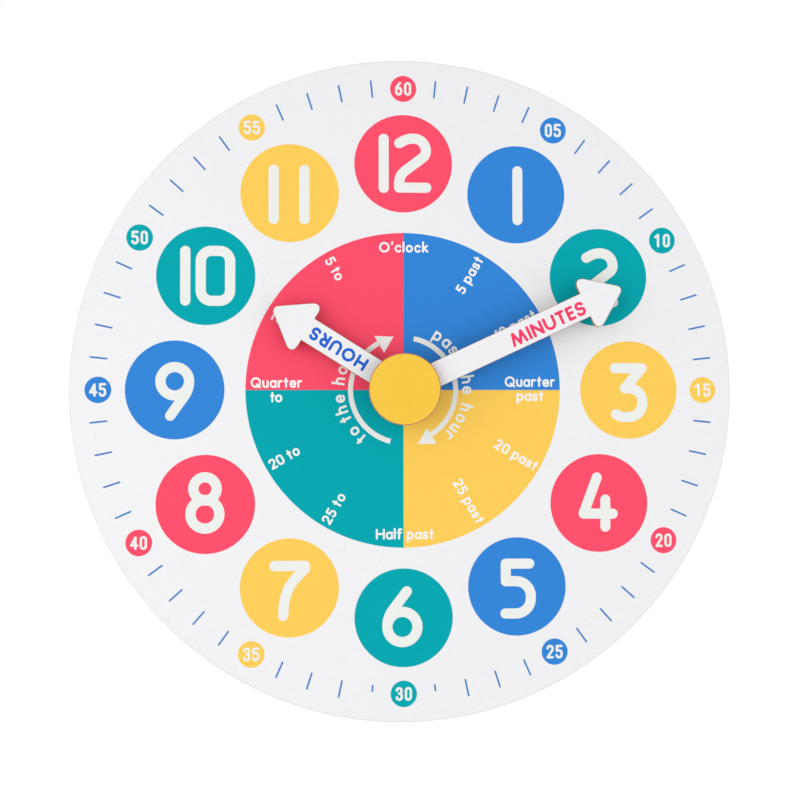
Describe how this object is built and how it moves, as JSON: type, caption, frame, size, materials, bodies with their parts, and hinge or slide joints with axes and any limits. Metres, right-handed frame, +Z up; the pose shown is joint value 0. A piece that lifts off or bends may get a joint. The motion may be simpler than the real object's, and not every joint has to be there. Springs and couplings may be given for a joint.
{
  "type": "teaching wall clock",
  "caption": "Round wall clock for learning to tell the time, with arrow-shaped hour and minute hands on a printed dial board and a geared battery movement behind it.",
  "frame": {"origin": "on the wall plane, where the axis of the hands meets the flat back of the movement's cover", "axes": "+Z up, with twelve at the top; +X to the right of someone looking at the dial; +Y into the wall, so the dial faces -Y"},
  "size_m": [0.3, 0.0369, 0.3],
  "materials": {
    "dial_board": "white satin print on fibreboard",
    "hand_board": "white satin faces, brown laser-cut edges",
    "cap_board": "yellow satin face, brown laser-cut edge",
    "black_plastic": "fine matt moulded texture",
    "white_plastic": "natural acetal",
    "amber_plastic": "tinted acetal",
    "green_plastic": "moulded",
    "board_resin": "green lacquered glass-fibre laminate",
    "black_resin": "potting resin",
    "steel": "zinc plated",
    "brass": "turned",
    "copper": "enamelled wire",
    "magnet": "sintered",
    "rubber": "matt",
    "white_foam": "adhesive foam",
    "cell_metal": "nickel-plated",
    "cell_sleeve": "printed shrink sleeve, plain green-grey with a pale band"
  },
  "bodies": {
    "clock": {"dial_plate": "dial_board", "movement_case": "black_plastic", "back_cover": "black_plastic", "hanger_plate": "steel", "rubber_gasket": "rubber", "dial_washer": "brass", "hex_nut": "brass", "middle_plate": "white_plastic", "rear_plate": "white_plastic", "circuit_board": "board_resin", "chip_blob": "black_resin", "quartz_crystal": "steel", "stator_plate": "steel", "coil_core": "steel", "coil_bobbin": "green_plastic", "coil_winding": "copper", "battery_contact_positive": "steel", "battery_contact_negative": "steel"},
    "minute_hand": {"minute_arbor": "white_plastic", "clutch_spring": "brass", "minute_hand_bush": "brass", "minute_hand": "hand_board", "cap_pad": "white_foam", "hand_cap": "cap_board"},
    "hour_hand": {"hour_wheel": "white_plastic", "hour_hand_bush": "brass", "hour_hand": "hand_board"},
    "minute_wheel": {"minute_wheel": "white_plastic"},
    "setting_knob": {"setting_pinion": "white_plastic", "setting_knob": "black_plastic"},
    "centre_wheel": {"centre_wheel": "amber_plastic"},
    "third_wheel": {"third_wheel": "white_plastic"},
    "seconds_wheel": {"seconds_wheel": "white_plastic", "seconds_arbor": "steel"},
    "intermediate_wheel": {"intermediate_wheel": "amber_plastic"},
    "rotor": {"rotor_pinion": "white_plastic", "rotor_magnet": "magnet"},
    "battery": {"battery_can": "cell_metal", "battery_sleeve": "cell_sleeve"}
  },
  "joints": [
    {"name": "minute_hand_turn", "type": "hinge", "parent": "clock", "child": "minute_hand", "pos_m": [0, 0, 0], "axis": [0, 1, 0], "continuous": true},
    {"name": "hour_hand_turn", "type": "hinge", "parent": "clock", "child": "hour_hand", "pos_m": [0, 0, 0], "axis": [0, 1, 0], "continuous": true},
    {"name": "minute_wheel_turn", "type": "hinge", "parent": "clock", "child": "minute_wheel", "pos_m": [-0.01039, 0, 0.006], "axis": [0, 1, 0], "continuous": true},
    {"name": "setting_knob_turn", "type": "hinge", "parent": "clock", "child": "setting_knob", "pos_m": [-0.0145, 0, 0.01728], "axis": [0, 1, 0], "continuous": true},
    {"name": "seconds_wheel_turn", "type": "hinge", "parent": "clock", "child": "seconds_wheel", "pos_m": [0, 0, 0], "axis": [0, 1, 0], "continuous": true},
    {"name": "centre_wheel_turn", "type": "hinge", "parent": "clock", "child": "centre_wheel", "pos_m": [0, 0, 0], "axis": [0, 1, 0], "continuous": true},
    {"name": "third_wheel_turn", "type": "hinge", "parent": "clock", "child": "third_wheel", "pos_m": [0, 0, 0.0095], "axis": [0, 1, 0], "continuous": true},
    {"name": "intermediate_wheel_turn", "type": "hinge", "parent": "clock", "child": "intermediate_wheel", "pos_m": [0.00947, 0, 0.00254], "axis": [0, 1, 0], "continuous": true},
    {"name": "rotor_turn", "type": "hinge", "parent": "clock", "child": "rotor", "pos_m": [0.0151, 0, 0.00048], "axis": [0, 1, 0], "continuous": true},
    {"name": "battery_out", "type": "slide", "parent": "clock", "child": "battery", "axis": [0, 1, 0], "range_m": [0, 0.018]}
  ],
  "couplings": [
    {"joint": "hour_hand_turn", "follows": "minute_hand_turn", "ratio": 0.083333},
    {"joint": "minute_wheel_turn", "follows": "minute_hand_turn", "ratio": -0.33333},
    {"joint": "setting_knob_turn", "follows": "minute_hand_turn", "ratio": 1},
    {"joint": "third_wheel_turn", "follows": "seconds_wheel_turn", "ratio": -0.13333},
    {"joint": "centre_wheel_turn", "follows": "seconds_wheel_turn", "ratio": 0.016667},
    {"joint": "intermediate_wheel_turn", "follows": "seconds_wheel_turn", "ratio": -6},
    {"joint": "rotor_turn", "follows": "seconds_wheel_turn", "ratio": 30}
  ]
}
